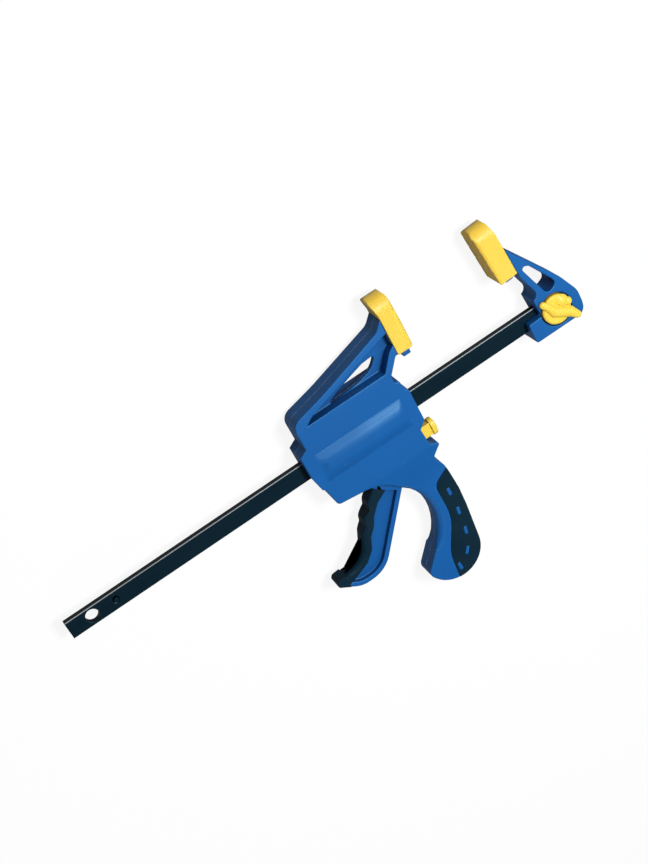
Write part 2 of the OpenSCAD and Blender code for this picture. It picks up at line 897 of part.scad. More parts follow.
// Half of the housing, from the parting face at z = 0 up
module half_housing() {
    difference() {
        union() {
            difference() {
                layer(0, half_house) body_outline();
                layer(half_handle - grip_side, half_house + over) grip_region();
                layer(-over, half_house + over) difference() {
                    grip_region();
                    offset(delta = -grip_back) body_outline();
                }
            }
            layer(half_handle - grip_side - over, half_handle - dash_sink) dash_outlines();
            bulge();
            difference() {
                layer(0, half_house) arm_outline();
                layer(web_t / 2, half_house + over) pocket_outline();
                layer(-over, half_house) web_window();
            }
        }
        // The sides draw in towards the handle and towards the pad
        along_x(-20, 150) polygon([
            [taper_top, half_house],
            [taper_end, half_handle],
            [-handle_foot - over, half_handle],
            [-handle_foot - over, half_house + over],
            [taper_top, half_house + over]
        ]);
        along_x(-20, 150) polygon([
            [shoulder_y + 2, half_house],
            [tip_y - 29.5, arm_tip_t / 2],
            [tip_y, arm_tip_t / 2],
            [tip_y, half_house + over],
            [shoulder_y + 2, half_house + over]
        ]);
        block([pad_x - 0.2, 0, -over], [pad_x + 40, tip_y, half_house + over]);
        handle_edge_round();
        difference() {
            cavity();
            translate([pivot[0], pivot[1], well_half_z]) cylinder(h = half_house, r = pivot_d / 2 + wall + 1);
        }
        hollows();
        translate([pivot[0], pivot[1], 0]) cylinder(h = half_house - wall, d = pivot_d + 2 * pin_clear);
    }
    intersection() {
        translate([pad_x, 0, 0]) pad_core(moving_plate_drop, moving_neck_h, 0);
        block([0, 0, 0], [pad_x + 40, tip_y, half_house]);
    }
}

module housing_front() {
    color([0.10, 0.40, 0.70]) place_moving() difference() {
        half_housing();
        for (s = screws) translate([s[0], s[1], -over]) {
            cylinder(h = side_half(s) - 4 + over, d = screw_d + 2 * pin_clear);
        }
    }
}

module housing_back() {
    color([0.09, 0.37, 0.66]) place_moving() difference() {
        mirror([0, 0, 1]) half_housing();
        for (s = screws) translate([s[0], s[1], 0]) {
            translate([0, 0, -half_house - over]) {
                cylinder(h = half_house + 2 * over, d = screw_d + 0.4);
                cylinder(h = half_house + over - side_half(s) + head_sink, d = screw_head_d + 1);
            }
        }
    }
}

module housing_screws() {
    color([0.75, 0.76, 0.78]) place_moving() for (s = screws) {
        half = side_half(s);
        translate([s[0], s[1], head_sink - half]) {
            pan_screw(screw_d, screw_head_d, screw_head_h, 2 * half - head_sink - 4.5);
        }
    }
}

module moving_pad() {
    color([0.98, 0.83, 0.27]) place_moving() translate([pad_x, 0, 0]) difference() {
        pad(moving_pad_depth, moving_pad_lean);
        pad_core(moving_plate_drop, moving_neck_h, pad_clear);
        pad_grooves(moving_pad_depth, moving_pad_lean);
    }
}

module handle_grip() {
    color([0.10, 0.16, 0.22]) place_moving() difference() {
        layer(-half_handle, half_handle) grip_region();
        layer(grip_side - half_handle, half_handle - grip_side) grip_core();
        layer(-half_handle - over, half_handle + over) dash_outlines();
    }
}

// ---------- Trigger ----------

// Whole trigger below its hub, with the finger grip
module trigger_outline() {
    outline([
        [70.5, -30, 0],
        [76, -62.5, 10],
        [18, -137.2, 31],
        [-8.8, -137.2, 24],
        [-31.2, -122.4, 3.2],
        [-27.4, -117.6, 2.5],
        [3.5, -114.5, 28],
        [14.6, -89.2, 4.5],
        [21.6, -84, 3.2],
        [23, -75.8, 2.8],
        [32.4, -70.6, 3.2],
        [34.6, -62.2, 3],
        [44, -54.2, 2],
        [56.5, -34, 0]
    ]);
}

// The stretch of the trigger that the soft grip covers
module trigger_grip_region() {
    intersection() {
        trigger_outline();
        outline([
            [40, -48, 0],
            [55, -61.6, 0.8],
            [42.5, -68.6, 6],
            [33.5, -78.6, 8],
            [28.5, -88, 8],
            [21, -96, 8],
            [16, -108.5, 10],
            [6, -118, 10],
            [-11, -125, 10],
            [-19, -127.2, 1],
            [-19, -142, 0],
            [-60, -142, 0],
            [-60, -48, 0]
        ]);
    }
}

// The rim across the trigger between its hub and the sunk panel on each side
module trigger_brow() {
    difference() {
        polygon([[52, -60.5], [66.5, -70.2], [71, -55], [66, -44], [52, -48]]);
        trigger_grip_region();
    }
}

// Line along the crests of the finger grip, from the housing to the lip
function crest_line() = concat(
    [[50, -46], [34.8, -61.6], [22.8, -75.6], [14.6, -88.6]],
    corner_arc([14.6, -88.6], [3.5, -114.5], [-27.4, -117.6], 28),
    [[-19, -117.1]]
);

module trigger() {
    color([0.10, 0.40, 0.70]) place_moving() difference() {
        union() {
            layer(-trigger_web / 2, trigger_web / 2) difference() {
                trigger_outline();
                difference() {
                    trigger_grip_region();
                    offset(delta = -grip_cover) trigger_outline();
                }
            }
            layer(-trigger_t / 2, trigger_t / 2) difference() {
                trigger_outline();
                trigger_grip_region();
                offset(delta = -trigger_rim) trigger_outline();
            }
            layer(-trigger_t / 2, trigger_t / 2) trigger_brow();
            translate([pivot[0], pivot[1], -trigger_t / 2]) cylinder(h = trigger_t, r = 8);
            layer(-5, 5) {
                translate([nose_x, nose_y]) circle(nose_r);
                polygon([
                    [nose_x - nose_r, nose_y],
                    [nose_x + nose_r, nose_y + 0.5],
                    [pivot[0] + 6.5, pivot[1] + 4],
                    [pivot[0] - 6, pivot[1] - 2]
                ]);
            }
        }
        translate([pivot[0], pivot[1], -trigger_t]) cylinder(h = 2 * trigger_t, d = pivot_d + 2 * pin_clear);
    }
}

module trigger_grip() {
    color([0.08, 0.13, 0.18]) place_moving() difference() {
        layer(-trigger_t / 2, trigger_t / 2) trigger_grip_region();
        layer(-trigger_web / 2, trigger_web / 2) offset(delta = -grip_cover) trigger_outline();
        for (side = [0, 1]) mirror([0, 0, side]) {
            edge_round(
                crest_line(),
                trigger_edge_r,
                function(t) lookup(t, [[0, 0.6], [0.2, 1], [0.8, 1], [1, 0.5]]),
                function(y) trigger_t / 2
            );
        }
    }
}

module trigger_pin() {
    half = half_house - wall - 0.5;
    color([0.75, 0.76, 0.78]) place_moving() translate([pivot[0], pivot[1], -half]) {
        cylinder(h = 2 * half, d = pivot_d);
    }
}

// ---------- Drive and brake ----------

// Plate across the bar with its slot, thickness t from x = 0 to the right
module lever_plate(t, top, foot) {
    difference() {
        along_x(0, t) translate([(top - foot) / 2, 0]) round_rect(top + foot, 2 * lever_half_w, 2);
        along_x(-over, t + over) {
            square([bar_w + 2 * slot_play, bar_t + 2 * slot_play], center = true);
        }
    }
}

module drive_plate(index) {
    color([0.55, 0.56, 0.58]) place_moving() translate([plates_x + index * drive_t, 0, 0]) {
        lever_plate(drive_t, drive_top, drive_foot);
    }
}

module brake_plate() {
    color([0.55, 0.56, 0.58]) place_moving() translate([fulcrum[0], fulcrum[1], 0]) {
        rotate(brake_tilt) translate([-brake_t, -fulcrum[1], 0]) {
            lever_plate(brake_t, fulcrum[1] + brake_above, brake_len - fulcrum[1]);
        }
    }
}

module drive_spring() {
    color([0.75, 0.76, 0.78]) place_moving() coil(spring_x0 + seat, plates_x - seat, drive_turns);
}

module brake_spring() {
    end = fulcrum[0] - brake_t / cos(brake_tilt) - (coil_r - fulcrum[1] + 2) * tan(brake_tilt) - seat - 0.3;
    color([0.75, 0.76, 0.78]) place_moving() coil(brake_spring_x + seat, end, brake_turns);
}

module release_button() {
    color([0.99, 0.80, 0.22]) place_moving() translate([0, button_y, 0]) {
        along_x(stem_x, cap_x + 1) square([stem_h, stem_w], center = true);
        intersection() {
            along_x(cap_x, cap_x + button_t) round_rect(button_h, button_w, button_w / 2 - 0.5);
            translate([cap_x + button_t - 22, 0, 0]) sphere(22, $fn = 96);
        }
    }
}

bar();
stop_pin();
fixed_jaw();
fixed_pad();
lock_knob();
knob_washer();
knob_screw();
housing_front();
housing_back();
housing_screws();
moving_pad();
handle_grip();
trigger();
trigger_grip();
trigger_pin();
drive_plate(0);  // drive_plate_1
drive_plate(1);  // drive_plate_2
drive_plate(2);  // drive_plate_3
drive_spring();
brake_plate();
brake_spring();
release_button();
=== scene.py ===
import math

import bmesh
import bpy
from mathutils import Matrix, Vector


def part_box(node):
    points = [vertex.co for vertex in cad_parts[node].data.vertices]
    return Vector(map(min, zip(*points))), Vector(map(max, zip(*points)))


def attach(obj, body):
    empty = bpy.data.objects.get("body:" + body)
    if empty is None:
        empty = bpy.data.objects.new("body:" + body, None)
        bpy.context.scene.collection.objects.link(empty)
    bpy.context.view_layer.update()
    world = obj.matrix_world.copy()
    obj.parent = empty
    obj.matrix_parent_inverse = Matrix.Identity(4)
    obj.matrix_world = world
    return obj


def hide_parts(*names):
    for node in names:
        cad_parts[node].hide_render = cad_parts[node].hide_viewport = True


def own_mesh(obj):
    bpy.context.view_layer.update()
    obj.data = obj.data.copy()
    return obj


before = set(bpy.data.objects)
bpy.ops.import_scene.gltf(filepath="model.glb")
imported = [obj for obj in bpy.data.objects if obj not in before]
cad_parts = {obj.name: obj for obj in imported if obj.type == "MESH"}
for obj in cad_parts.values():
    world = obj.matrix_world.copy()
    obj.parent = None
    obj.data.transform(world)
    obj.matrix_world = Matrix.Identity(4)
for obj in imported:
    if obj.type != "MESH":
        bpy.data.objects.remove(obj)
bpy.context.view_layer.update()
print("frame loaded")

mm = 0.001


# node helpers, used by the finishes and by the geometry trees

def addNode(tree, kind, **values):
    node = tree.nodes.new(kind)
    for key, value in values.items():
        setattr(node, key, value)
    return node


def link(tree, source, target):
    tree.links.new(source, target)


def newMaterial(name):
    material = bpy.data.materials.new(name)
    material.use_nodes = True
    material.node_tree.nodes.clear()
    return material, material.node_tree


def objectCoordinates(tree, stretch=(1, 1, 1)):
    place = addNode(tree, "ShaderNodeTexCoord")
    mapping = addNode(tree, "ShaderNodeMapping")
    mapping.inputs["Scale"].default_value = stretch
    link(tree, place.outputs["Object"], mapping.inputs["Vector"])
    return mapping.outputs["Vector"]


def noise(tree, vector, scale, detail=3.0, roughness=0.55):
    node = addNode(tree, "ShaderNodeTexNoise")
    node.inputs["Scale"].default_value = scale
    node.inputs["Detail"].default_value = detail
    node.inputs["Roughness"].default_value = roughness
    link(tree, vector, node.inputs["Vector"])
    return node.outputs["Fac"]


def spread(tree, value, low, high, fromLow=0.3, fromHigh=0.7):
    node = addNode(tree, "ShaderNodeMapRange")
    node.inputs["From Min"].default_value = fromLow
    node.inputs["From Max"].default_value = fromHigh
    node.inputs["To Min"].default_value = low
    node.inputs["To Max"].default_value = high
    link(tree, value, node.inputs["Value"])
    return node.outputs["Result"]


def arithmetic(tree, operation, first, second=0.0):
    node = addNode(tree, "ShaderNodeMath", operation=operation)
    for socket, value in zip(node.inputs, (first, second)):
        if isinstance(value, (int, float)):
            socket.default_value = value
        else:
            link(tree, value, socket)
    return node.outputs[0]


def mixColours(tree, factor, colourA, colourB):
    node = addNode(tree, "ShaderNodeMix", data_type="RGBA")
    link(tree, factor, node.inputs[0])
    for socket, colour in ((node.inputs[6], colourA), (node.inputs[7], colourB)):
        if isinstance(colour, (tuple, list)):
            socket.default_value = (*colour, 1)
        else:
            link(tree, colour, socket)
    return node.outputs[2]


shading = {
    "samples": 8,            # rays for the soft edges and for the deep corners
    "turned": 0.84,          # cosine between soft and true normal on a full edge
    "flat": 0.985,           # the same where the face counts as flat
    "closed": 0.25,          # share of open sky in a deep corner
    "open": 0.95,
}


def roundedNormal(tree, radius):
    # the moulded edge: the surface turns over this width instead of at a line
    bevel = addNode(tree, "ShaderNodeBevel", samples=shading["samples"])
    bevel.inputs["Radius"].default_value = radius
    return bevel.outputs["Normal"]


def edgeMask(tree, rounded):
    # one on an edge, nothing on an open face
    geometry = addNode(tree, "ShaderNodeNewGeometry")
    dot = addNode(tree, "ShaderNodeVectorMath", operation="DOT_PRODUCT")
    link(tree, rounded, dot.inputs[0])
    link(tree, geometry.outputs["Normal"], dot.inputs[1])
    return spread(tree, dot.outputs["Value"], 1, 0, shading["turned"], shading["flat"])


def shadeCorners(tree, tint, values):
    # painted shade: the colour turns darker where walls stand close together and less light reaches
    hollow = addNode(tree, "ShaderNodeAmbientOcclusion", samples=shading["samples"])
    hollow.inputs["Distance"].default_value = values["shadeReach"]
    share = spread(tree, hollow.outputs["AO"], values["shadeShare"], 0.0, shading["closed"], shading["open"])
    return mixColours(tree, share, tint, values["shade"])


def finishMaterial(tree, colour, roughness, height, heightSize, rounded, settings):
    shader = addNode(tree, "ShaderNodeBsdfPrincipled")
    for name, value in settings.items():
        shader.inputs[name].default_value = value
    link(tree, colour, shader.inputs["Base Color"])
    link(tree, roughness, shader.inputs["Roughness"])
    bump = addNode(tree, "ShaderNodeBump")
    bump.inputs["Distance"].default_value = heightSize
    link(tree, height, bump.inputs["Height"])
    link(tree, rounded, bump.inputs["Normal"])
    link(tree, bump.outputs["Normal"], shader.inputs["Normal"])
    out = addNode(tree, "ShaderNodeOutputMaterial")
    link(tree, shader.outputs["BSDF"], out.inputs["Surface"])


# finishes

bluePlastic = {
    "colour": (0.0030, 0.104, 0.372),
    "deep": (0.0020, 0.090, 0.336),
    "shade": (0.0010, 0.030, 0.130),
    "shadeShare": 0.75,
    "shadeReach": 14 * mm,   # how far into corners and pockets the painted shade reaches
    "wornAndLitColour": (0.060, 0.270, 0.560),
    "wearAndHighlight": 0.40,
    "edge": 1.9 * mm,
    "grain": 620,            # fine spark eroded texture of the mould
    "grainHeight": 0.045 * mm,
    "roughness": (0.44, 0.54),
    "settings": {"Specular IOR Level": 0.6, "Specular Tint": (0.42, 0.80, 1.0, 1.0)},
}

partingHighlight = {                    # painted highlight: a pale line where the two shells meet
    "height": 19.5 * mm,
    "width": 0.8 * mm,
    "share": 0.85,
    "faintest": 0.25,        # share of the painted highlight that stays where the scuff noise is lowest
    "colour": (0.26, 0.42, 0.68),
}

yellowPlastic = {
    "colour": (0.96, 0.71, 0.095),
    "deep": (0.93, 0.65, 0.065),
    "shade": (0.66, 0.36, 0.012),
    "shadeShare": 0.75,
    "shadeReach": 5 * mm,
    "wornAndLitColour": (0.97, 0.78, 0.250),
    "wearAndHighlight": 0.0,             # the knob and the button get neither rubbed edges nor the painted edge highlight
    "edge": 0.25 * mm,
    "grain": 1300,
    "grainHeight": 0.002 * mm,
    "roughness": (0.36, 0.46),
    "settings": {"Specular IOR Level": 0.45, "Subsurface Weight": 0.3, "Subsurface Scale": 0.004,
                 "Subsurface Radius": (1.0, 0.6, 0.15)},
}


scuffing = {                 # shared by every moulded piece
    "cloudScale": 14,
    "scuffScale": 170,
    "stretch": (1, 0.35, 1), # scuffs run across the bar
    "marks": 0.09,           # strength of the scuffs on open faces
    "rare": (0.60, 0.74),    # noise range where they show
    "edges": (0.40, 0.62),   # noise range of the lighter edges: rubbing and painted highlight
    "line": (0.38, 0.55),
    "leastWearAndHighlight": 0.6,        # share of the edge wear and painted highlight that every edge has
}


def paintPartingHighlight(tree, place, scuffs):
    # painted highlight along the parting line, fainter where the scuff noise is low
    parts = addNode(tree, "ShaderNodeSeparateXYZ")
    link(tree, place, parts.inputs[0])
    away = arithmetic(tree, "ABSOLUTE", arithmetic(tree, "SUBTRACT", parts.outputs["Z"], partingHighlight["height"]))
    line = spread(tree, away, partingHighlight["share"], 0.0, partingHighlight["width"] * 0.5, partingHighlight["width"])
    return arithmetic(tree, "MULTIPLY", line, spread(tree, scuffs, partingHighlight["faintest"], 1.0, *scuffing["line"]))


def mouldedPlastic(name, values):
    material, tree = newMaterial(name)
    place = objectCoordinates(tree)
    rounded = roundedNormal(tree, values["edge"])
    clouds = noise(tree, place, scuffing["cloudScale"], 4)
    tint = mixColours(tree, spread(tree, clouds, 0.0, 1.0), values["colour"], values["deep"])
    # painted shade in corners, pockets and creases
    tint = shadeCorners(tree, tint, values)
    scuffs = noise(tree, objectCoordinates(tree, scuffing["stretch"]), scuffing["scuffScale"], 6, 0.7)
    marks = spread(tree, scuffs, 0.0, scuffing["marks"], *scuffing["rare"])
    # lighter colour along every convex edge: partly rubbed edges, partly a painted highlight
    if values["wearAndHighlight"]:
        wornAndLitEdges = spread(tree, scuffs, values["wearAndHighlight"] * scuffing["leastWearAndHighlight"], values["wearAndHighlight"], *scuffing["edges"])
        wornAndLitEdges = arithmetic(tree, "MULTIPLY", edgeMask(tree, rounded), wornAndLitEdges)
        marks = arithmetic(tree, "MAXIMUM", marks, wornAndLitEdges)
    tint = mixColours(tree, marks, tint, values["wornAndLitColour"])
    # painted highlight along the parting line of the two shells
    if name == "housingBlue":
        tint = mixColours(tree, paintPartingHighlight(tree, place, scuffs), tint, partingHighlight["colour"])
    shine = spread(tree, clouds, *values["roughness"])
    grain = noise(tree, place, values["grain"], 2, 0.7)
    finishMaterial(tree, tint, shine, grain, values["grainHeight"], rounded, values["settings"])
    return material


padRubber = {
    "colour": (0.96, 0.650, 0.088),
    "dusty": (0.93, 0.585, 0.050),
    "shade": (0.60, 0.34, 0.020),
    "shadeShare": 0.55,
    "shadeReach": 2.5 * mm,
    "edge": 1.1 * mm,
    "grain": 900,
    "grainHeight": 0.02 * mm,
    "roughness": (0.42, 0.54),
    "settings": {"Specular IOR Level": 0.45, "Subsurface Weight": 0.5, "Subsurface Scale": 0.007,
                 "Subsurface Radius": (1.0, 0.82, 0.45), "Sheen Weight": 0.35, "Sheen Roughness": 0.4,
                 "Sheen Tint": (1.0, 0.93, 0.70, 1.0)},
}

gripRubber = {
    "colour": (0.0030, 0.0160, 0.0310),
    "dusty": (0.0065, 0.0230, 0.0410),
    "shade": (0.0015, 0.0050, 0.0100),
    "shadeShare": 0.8,
    "shadeReach": 9 * mm,
    "edge": 1.2 * mm,
    "grain": 1500,
    "grainHeight": 0.05 * mm,
    "roughness": (0.46, 0.60),
    "settings": {"Specular IOR Level": 0.12, "Specular Tint": (0.5, 0.85, 1.0, 1.0)},
}


dust = {"scale": 26, "most": 0.8}    # patches where rubber takes up dust


def softRubber(name, values):
    material, tree = newMaterial(name)
    place = objectCoordinates(tree)
    rounded = roundedNormal(tree, values["edge"])
    clouds = noise(tree, place, dust["scale"], 5, 0.6)
    tint = mixColours(tree, spread(tree, clouds, 0.0, dust["most"]), values["colour"], values["dusty"])
    # painted shade in corners, grooves and creases
    tint = shadeCorners(tree, tint, values)
    shine = spread(tree, clouds, *values["roughness"])
    grain = noise(tree, place, values["grain"], 2, 0.8)
    finishMaterial(tree, tint, shine, grain, values["grainHeight"], rounded, values["settings"])
    return material


barLow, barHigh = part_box("bar")

blackedSteel = {
    "colour": (0.0008, 0.0080, 0.0160),
    "dull": (0.0020, 0.0120, 0.0215),
    "side": (0.0002, 0.0010, 0.0022),   # painted shade: the narrow sides are darker, as little light falls on them
    "middle": (barLow[1] + barHigh[1]) / 2,
    "bright": (8.2 * mm, 8.8 * mm),     # painted highlight along one long edge, this far from the middle line
    "wornAndLitEdges": (0.65, 1.0),
    "edge": 1.5 * mm,
    "edgeWearAndHighlightColour": (0.56, 0.59, 0.62),
    "stretch": (0.02, 1, 1),
    "roughness": (0.30, 0.42),
    "settings": {"Metallic": 0.0, "Specular IOR Level": 0.25, "Specular Tint": (0.45, 0.85, 1.0, 1.0)},
}

zincSteel = {
    "colour": (0.62, 0.62, 0.63),
    "dull": (0.44, 0.44, 0.46),
    "wornAndLitEdges": (0.3, 0.8),
    "edge": 0.3 * mm,
    "edgeWearAndHighlightColour": (0.78, 0.78, 0.79),
    "stretch": (1, 1, 1),
    "roughness": (0.24, 0.38),
    "settings": {"Metallic": 1.0},
}

hardenedSteel = {
    "colour": (0.30, 0.30, 0.31),
    "dull": (0.17, 0.165, 0.16),
    "wornAndLitEdges": (0.3, 0.8),
    "edge": 0.4 * mm,
    "edgeWearAndHighlightColour": (0.46, 0.46, 0.47),
    "stretch": (1, 0.05, 1),
    "roughness": (0.30, 0.44),
    "settings": {"Metallic": 1.0},
}


drawing = {                  # shared by every steel piece
    "streakScale": 420,
    "streakHeight": 0.012 * mm,
    "streakShare": 0.35,
    "cloudScale": 32,
    "cloudShare": 0.7,
    "sideways": (0.5, 0.8),  # how far a face of the bar turns to count as its narrow side
}


def barOnly(tree, tint, wornAndLitEdges, values):
    # painted shade on the narrow sides, and a painted highlight along the long edge that the jaws hang from
    facing = addNode(tree, "ShaderNodeSeparateXYZ")
    link(tree, addNode(tree, "ShaderNodeNewGeometry").outputs["True Normal"], facing.inputs[0])
    # painted shade: faces of the bar that turn sideways get the darker side colour
    sideways = arithmetic(tree, "ABSOLUTE", facing.outputs["Y"])
    side = spread(tree, sideways, 0.0, 1.0, *drawing["sideways"])
    tint = mixColours(tree, side, tint, values["side"])
    # painted highlight: a light band along one long edge of the bar
    place = addNode(tree, "ShaderNodeSeparateXYZ")
    link(tree, objectCoordinates(tree), place.inputs[0])
    away = arithmetic(tree, "SUBTRACT", place.outputs["Y"], values["middle"])
    edge = arithmetic(tree, "SUBTRACT", spread(tree, away, 0.0, 1.0, *values["bright"]), sideways)
    edge.node.use_clamp = True
    return tint, arithmetic(tree, "MULTIPLY", wornAndLitEdges, edge)


def drawnSteel(name, values):
    material, tree = newMaterial(name)
    rounded = roundedNormal(tree, values["edge"])
    streaks = noise(tree, objectCoordinates(tree, values["stretch"]), drawing["streakScale"], 4, 0.65)
    clouds = noise(tree, objectCoordinates(tree), drawing["cloudScale"], 5, 0.6)
    patches = spread(tree, clouds, 0.0, drawing["cloudShare"])
    tint = mixColours(tree, patches, values["colour"], values["dull"])
    tint = mixColours(tree, spread(tree, streaks, 0.0, drawing["streakShare"]), tint, values["dull"])
    wornAndLitEdges = spread(tree, streaks, *values["wornAndLitEdges"])
    if "side" in values:
        tint, wornAndLitEdges = barOnly(tree, tint, wornAndLitEdges, values)
    else:
        wornAndLitEdges = arithmetic(tree, "MULTIPLY", edgeMask(tree, rounded), wornAndLitEdges)
    # lighter edges: a painted highlight on the bar, rubbed edges on the zinc and hardened pieces
    tint = mixColours(tree, wornAndLitEdges, tint, values["edgeWearAndHighlightColour"])
    shine = spread(tree, streaks, *values["roughness"])
    finishMaterial(tree, tint, shine, streaks, drawing["streakHeight"], rounded, values["settings"])
    return material


finishes = {
    "housingBlue": mouldedPlastic("housingBlue", bluePlastic),
    "jawBlue": mouldedPlastic("jawBlue", bluePlastic),
    "knobYellow": mouldedPlastic("knobYellow", yellowPlastic),
    "padYellow": softRubber("padYellow", padRubber),
    "gripDark": softRubber("gripDark", gripRubber),
    "barBlack": drawnSteel("barBlack", blackedSteel),
    "zinc": drawnSteel("zinc", zincSteel),
    "hardened": drawnSteel("hardened", hardenedSteel),
}
print("finishes made")


# moulded and machined pieces, from the frame's own shapes

cleaning = {
    "merge": 2e-6,           # corners closer than this are one
    "shortest": 1e-6,
    "planar": 0.3,           # degrees between faces that are joined to one
    "level": 1e-5,           # height difference that still counts as the same plane
}


def cleanCopy(nodeName, pieceName):
    # the frame's meshes are loose triangles: merge them and join what lies in one plane
    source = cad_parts[nodeName].data
    mesh = bpy.data.meshes.new(pieceName)
    work = bmesh.new()
    work.from_mesh(source)
    bmesh.ops.remove_doubles(work, verts=work.verts, dist=cleaning["merge"])
    bmesh.ops.dissolve_degenerate(work, edges=work.edges, dist=cleaning["shortest"])
    bmesh.ops.dissolve_limit(work, angle_limit=math.radians(cleaning["planar"]), verts=work.verts,
                             edges=work.edges)
    work.to_mesh(mesh)
    work.free()
    piece = bpy.data.objects.new(pieceName, mesh)
    bpy.context.scene.collection.objects.link(piece)
    return piece


def applyModifiers(piece):
    bpy.context.view_layer.update()
    graph = bpy.context.evaluated_depsgraph_get()
    mesh = bpy.data.meshes.new_from_object(piece.evaluated_get(graph))
    piece.modifiers.clear()
    piece.data = mesh
    return piece


def shadeByAngle(piece, degrees):
    mesh = piece.data
    mesh.polygons.foreach_set("use_smooth", [True] * len(mesh.polygons))
    mesh.set_sharp_from_angle(angle=math.radians(degrees))
    mesh.update()


def steadyNormals(piece):
    # large faces keep their own direction, so that only narrow ones turn
    weigh = piece.modifiers.new("weigh", "WEIGHTED_NORMAL")
    weigh.mode = "FACE_AREA_WITH_ANGLE"
    weigh.weight = 100
    weigh.keep_sharp = True
    applyModifiers(piece)


def remould(piece, voxel, rounds):
    # even skin over the whole piece, then relaxed so that its edges turn soft
    remesh = piece.modifiers.new("skin", "REMESH")
    remesh.mode = "VOXEL"
    remesh.voxel_size = voxel
    relax = piece.modifiers.new("relax", "SMOOTH")
    relax.factor = 0.5
    relax.iterations = rounds
    applyModifiers(piece)


def dress(piece, finish, body, node):
    piece.data.materials.clear()
    piece.data.materials.append(finishes[finish])
    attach(piece, body)
    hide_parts(node)


shells = {
    "parting": 19.5 * mm,    # height of the plane where the two shells meet
    "partingBevel": 0.5 * mm,
    "rimRound": 0.7 * mm,    # width of the round along the open edges
    "rimAngle": 50,          # degrees, only sharper edges are rounded
    "face": 34.5 * mm,       # height of the housing's open face
    "crown": 39.0 * mm,      # top of the long bulge
    "bulgeHalf": 15.5 * mm,
    "bulgeSlope": 28,        # degrees, along both sides of the bulge
    "crestRound": 4.6 * mm,
    "crestCuts": 24,         # lengthwise strips that carry the round crest
    "above": 0.02 * mm,      # a corner this far over the face belongs to the bulge
}


def roundRims(piece):
    # outer edges turn over two narrow facets, with a fine cut where the lower shell meets the upper one
    work = bmesh.new()
    work.from_mesh(piece.data)
    rims, seam = [], []
    for edge in work.edges:
        if len(edge.link_faces) != 2 or not edge.is_convex:
            continue
        if edge.calc_face_angle() < math.radians(shells["rimAngle"]):
            continue
        atParting = all(abs(vertex.co.z - shells["parting"]) < cleaning["level"] for vertex in edge.verts)
        (seam if atParting else rims).append(edge)
    if piece.name == "housingBack":
        bmesh.ops.bevel(work, geom=seam, offset=shells["partingBevel"], segments=1, affect="EDGES",
                        clamp_overlap=False)
        rims = [edge for edge in rims if edge.is_valid]
    bmesh.ops.bevel(work, geom=rims, offset=shells["rimRound"], segments=2, profile=0.5, affect="EDGES",
                    clamp_overlap=False)
    print("rounded", piece.name, len(rims), "rims,", len(seam), "edges at the parting")
    work.to_mesh(piece.data)
    work.free()


def slopeBulge(piece):
    # plain slopes along both sides of the bulge, with a round crest above them
    middle = (barLow[1] + barHigh[1]) / 2
    rise = shells["crown"] - shells["face"]
    gain = math.tan(math.radians(shells["bulgeSlope"]))
    soft = shells["crestRound"] * gain
    ground = shells["face"] + shells["above"]
    mesh = piece.data
    work = bmesh.new()
    work.from_mesh(mesh)
    for cut in range(1, shells["crestCuts"]):
        across = middle + shells["bulgeHalf"] * (2 * cut / shells["crestCuts"] - 1)
        raised = [face for face in work.faces if max(v.co.z for v in face.verts) > ground]
        edges = dict.fromkeys(edge for face in raised for edge in face.edges)
        corners = dict.fromkeys(vertex for face in raised for vertex in face.verts)
        bmesh.ops.bisect_plane(work, geom=[*corners, *edges, *raised], dist=1e-6, plane_co=(0, across, 0),
                               plane_no=(0, 1, 0))
    work.to_mesh(mesh)
    work.free()
    for vertex in mesh.vertices:
        if vertex.co.z > ground:
            climb = gain * max(shells["bulgeHalf"] - abs(vertex.co.y - middle), 0)
            over = climb - rise + soft
            if over > 2 * soft:
                climb = rise
            elif over > 0:
                climb -= over ** 2 / (4 * soft)
            vertex.co.z = min(vertex.co.z, shells["face"] + climb)
    mesh.update()


moulded = {                  # node: piece, finish, body, slot, smooth below this angle
    "housing_front": ("housingFront", "housingBlue", "moving_side", "housing_blue", 14),
    "housing_back": ("housingBack", "housingBlue", "moving_side", "housing_blue", 14),
    "fixed_jaw": ("jawCasting", "jawBlue", "fixed_side", "jaw_blue", 16),
    "trigger": ("triggerLever", "housingBlue", "trigger_lever", "trigger_blue", 16),
    "trigger_grip": ("triggerGrip", "gripDark", "trigger_lever", "grip_dark", 28),
    "handle_grip": ("handleGrip", "gripDark", "moving_side", "grip_dark", 16),
    "moving_pad": ("movingPad", "padYellow", "moving_side", "pad_yellow", 30),
    "fixed_pad": ("fixedPad", "padYellow", "fixed_side", "pad_yellow", 30),
}

hardPieces = ("housing_front", "housing_back", "fixed_jaw", "trigger")

for node, (pieceName, finish, body, slot, degrees) in moulded.items():
    piece = cleanCopy(node, pieceName)
    if node in hardPieces:
        roundRims(piece)
    if node == "housing_front":
        slopeBulge(piece)
    shadeByAngle(piece, degrees)
    steadyNormals(piece)
    dress(piece, finish, body, node)
    print("made", pieceName, len(piece.data.polygons), "faces")

turned = {                   # node: piece, body, slot, voxel, rounds of smoothing
    "lock_knob": ("lockKnob", "knob", "knob_yellow", 0.30 * mm, 10),
    "release_button": ("releaseButton", "button", "button_yellow", 0.30 * mm, 5),
}

turnedAngle = 60             # degrees, round forms shade smooth below it

for node, (pieceName, body, slot, voxel, rounds) in turned.items():
    piece = cleanCopy(node, pieceName)
    remould(piece, voxel, rounds)
    shadeByAngle(piece, turnedAngle)
    dress(piece, "knobYellow", body, node)
    print("made", pieceName, len(piece.data.polygons), "faces")

barAngle = 30                # degrees

bar = cleanCopy("bar", "flatBar")
shadeByAngle(bar, barAngle)
steadyNormals(bar)
dress(bar, "barBlack", "fixed_side", "bar")
print("made flatBar", len(bar.data.polygons), "faces")


